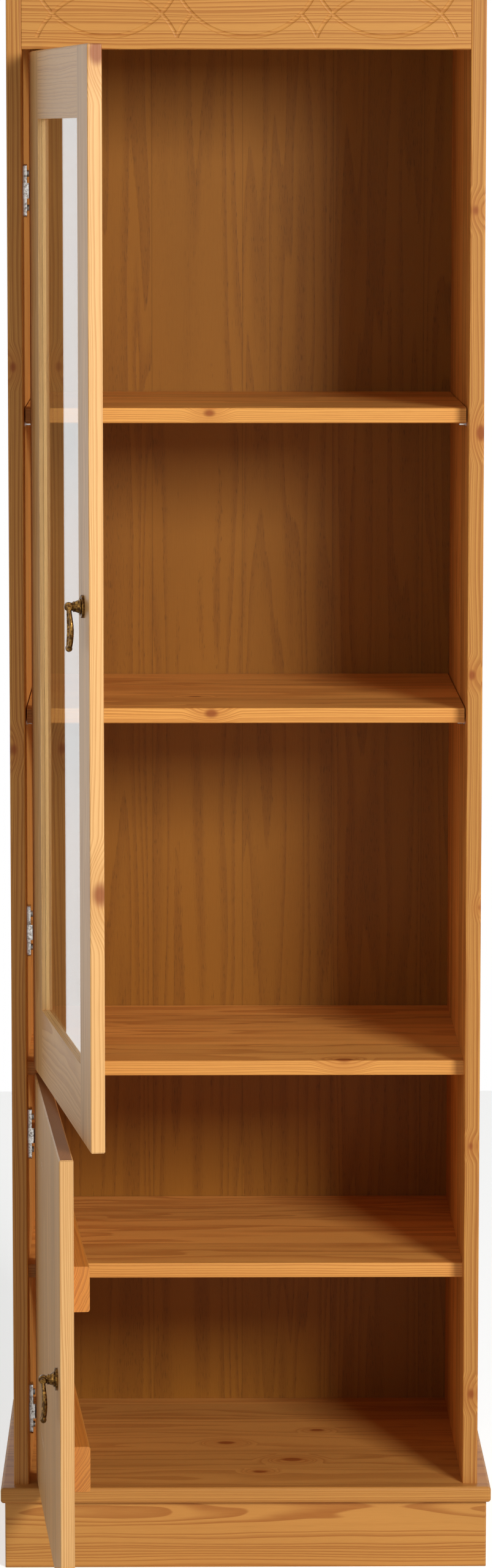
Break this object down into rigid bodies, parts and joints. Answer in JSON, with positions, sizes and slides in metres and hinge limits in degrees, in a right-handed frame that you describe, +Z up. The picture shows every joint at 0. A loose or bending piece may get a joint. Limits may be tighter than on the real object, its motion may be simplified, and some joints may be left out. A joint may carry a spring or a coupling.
{
  "type": "display cabinet",
  "caption": "Tall narrow pine display cabinet with open shelves behind a glazed upper door and a board lower door, each on concealed hinges with a brass drop handle.",
  "frame": {"origin": "middle of the underside of the plinth's front board, on the floor, in the plane of the side boards' front edges", "axes": "+X to the right as seen from the front, +Y from front to back, +Z up"},
  "size_m": [0.588, 0.9083, 1.908],
  "materials": {
    "clear_glass": "clear polished float glass",
    "nickel_steel": "bright nickel plate",
    "zinc_steel": "zinc plated",
    "antique_brass": "antiqued, rubbed bright on the high spots",
    "beech_dowel": "plain beech",
    "oak_back_panel": "oak-grained panel, waxed",
    "door_pine": "solid pine, honey wax",
    "carcase_pine": "solid pine, honey wax"
  },
  "bodies": {
    "carcase": {"back_panel": "oak_back_panel", "back_panel_nails": "zinc_steel", "base_plate": "carcase_pine", "carcase_dowels": "beech_dowel", "frieze_board": "carcase_pine", "hinge_clamp_screws": "zinc_steel", "hinge_plate_screws": "zinc_steel", "lower_door_hinge_bottom_arm": "nickel_steel", "lower_door_hinge_bottom_plate": "nickel_steel", "lower_door_hinge_top_arm": "nickel_steel", "lower_door_hinge_top_plate": "nickel_steel", "plinth_back": "carcase_pine", "plinth_block_screws": "zinc_steel", "plinth_corner_blocks": "carcase_pine", "plinth_front": "carcase_pine", "plinth_side_left": "carcase_pine", "plinth_side_right": "carcase_pine", "shelf_fixed": "carcase_pine", "shelf_high": "carcase_pine", "shelf_low": "carcase_pine", "shelf_middle": "carcase_pine", "shelf_pins": "nickel_steel", "side_panel_left": "carcase_pine", "side_panel_right": "carcase_pine", "top_plate": "carcase_pine", "upper_door_hinge_bottom_arm": "nickel_steel", "upper_door_hinge_bottom_plate": "nickel_steel", "upper_door_hinge_top_arm": "nickel_steel", "upper_door_hinge_top_plate": "nickel_steel"},
    "upper_door": {"glazing_bead_bottom": "door_pine", "glazing_bead_left": "door_pine", "glazing_bead_right": "door_pine", "glazing_bead_top": "door_pine", "upper_door_bottom_rail": "door_pine", "upper_door_cup_screws": "zinc_steel", "upper_door_free_stile": "door_pine", "upper_door_glass": "clear_glass", "upper_door_handle_pin": "antique_brass", "upper_door_handle_post": "antique_brass", "upper_door_handle_rose": "antique_brass", "upper_door_handle_screw": "zinc_steel", "upper_door_hinge_bottom_cup": "nickel_steel", "upper_door_hinge_pins": "zinc_steel", "upper_door_hinge_stile": "door_pine", "upper_door_hinge_top_cup": "nickel_steel", "upper_door_top_rail": "door_pine"},
    "lower_door": {"lower_door_batten_bottom": "door_pine", "lower_door_batten_screws": "zinc_steel", "lower_door_batten_top": "door_pine", "lower_door_board": "door_pine", "lower_door_cup_screws": "zinc_steel", "lower_door_handle_pin": "antique_brass", "lower_door_handle_post": "antique_brass", "lower_door_handle_rose": "antique_brass", "lower_door_handle_screw": "zinc_steel", "lower_door_hinge_bottom_cup": "nickel_steel", "lower_door_hinge_pins": "zinc_steel", "lower_door_hinge_top_cup": "nickel_steel"},
    "lower_bail": {"lower_door_handle_bail": "antique_brass"},
    "upper_bail": {"upper_door_handle_bail": "antique_brass"}
  },
  "joints": [
    {"name": "upper_door_hinge", "type": "hinge", "parent": "carcase", "child": "upper_door", "pos_m": [-0.244, 0.009, 1.20503], "axis": [0, 0, 1], "range_deg": [-13.7, 81.3]},
    {"name": "lower_door_hinge", "type": "hinge", "parent": "carcase", "child": "lower_door", "pos_m": [-0.244, 0.009, 0.35028], "axis": [0, 0, 1], "range_deg": [-9.7, 85.3]},
    {"name": "upper_bail_hinge", "type": "hinge", "parent": "upper_door", "child": "upper_bail", "pos_m": [-0.19768, -0.44573, 1.201], "axis": [-0.1513, 0.9885, 0], "range_deg": [-12, 110]},
    {"name": "lower_bail_hinge", "type": "hinge", "parent": "lower_door", "child": "lower_bail", "pos_m": [-0.22952, -0.44785, 0.343], "axis": [-0.0819, 0.9966, 0], "range_deg": [-12, 110]}
  ]
}
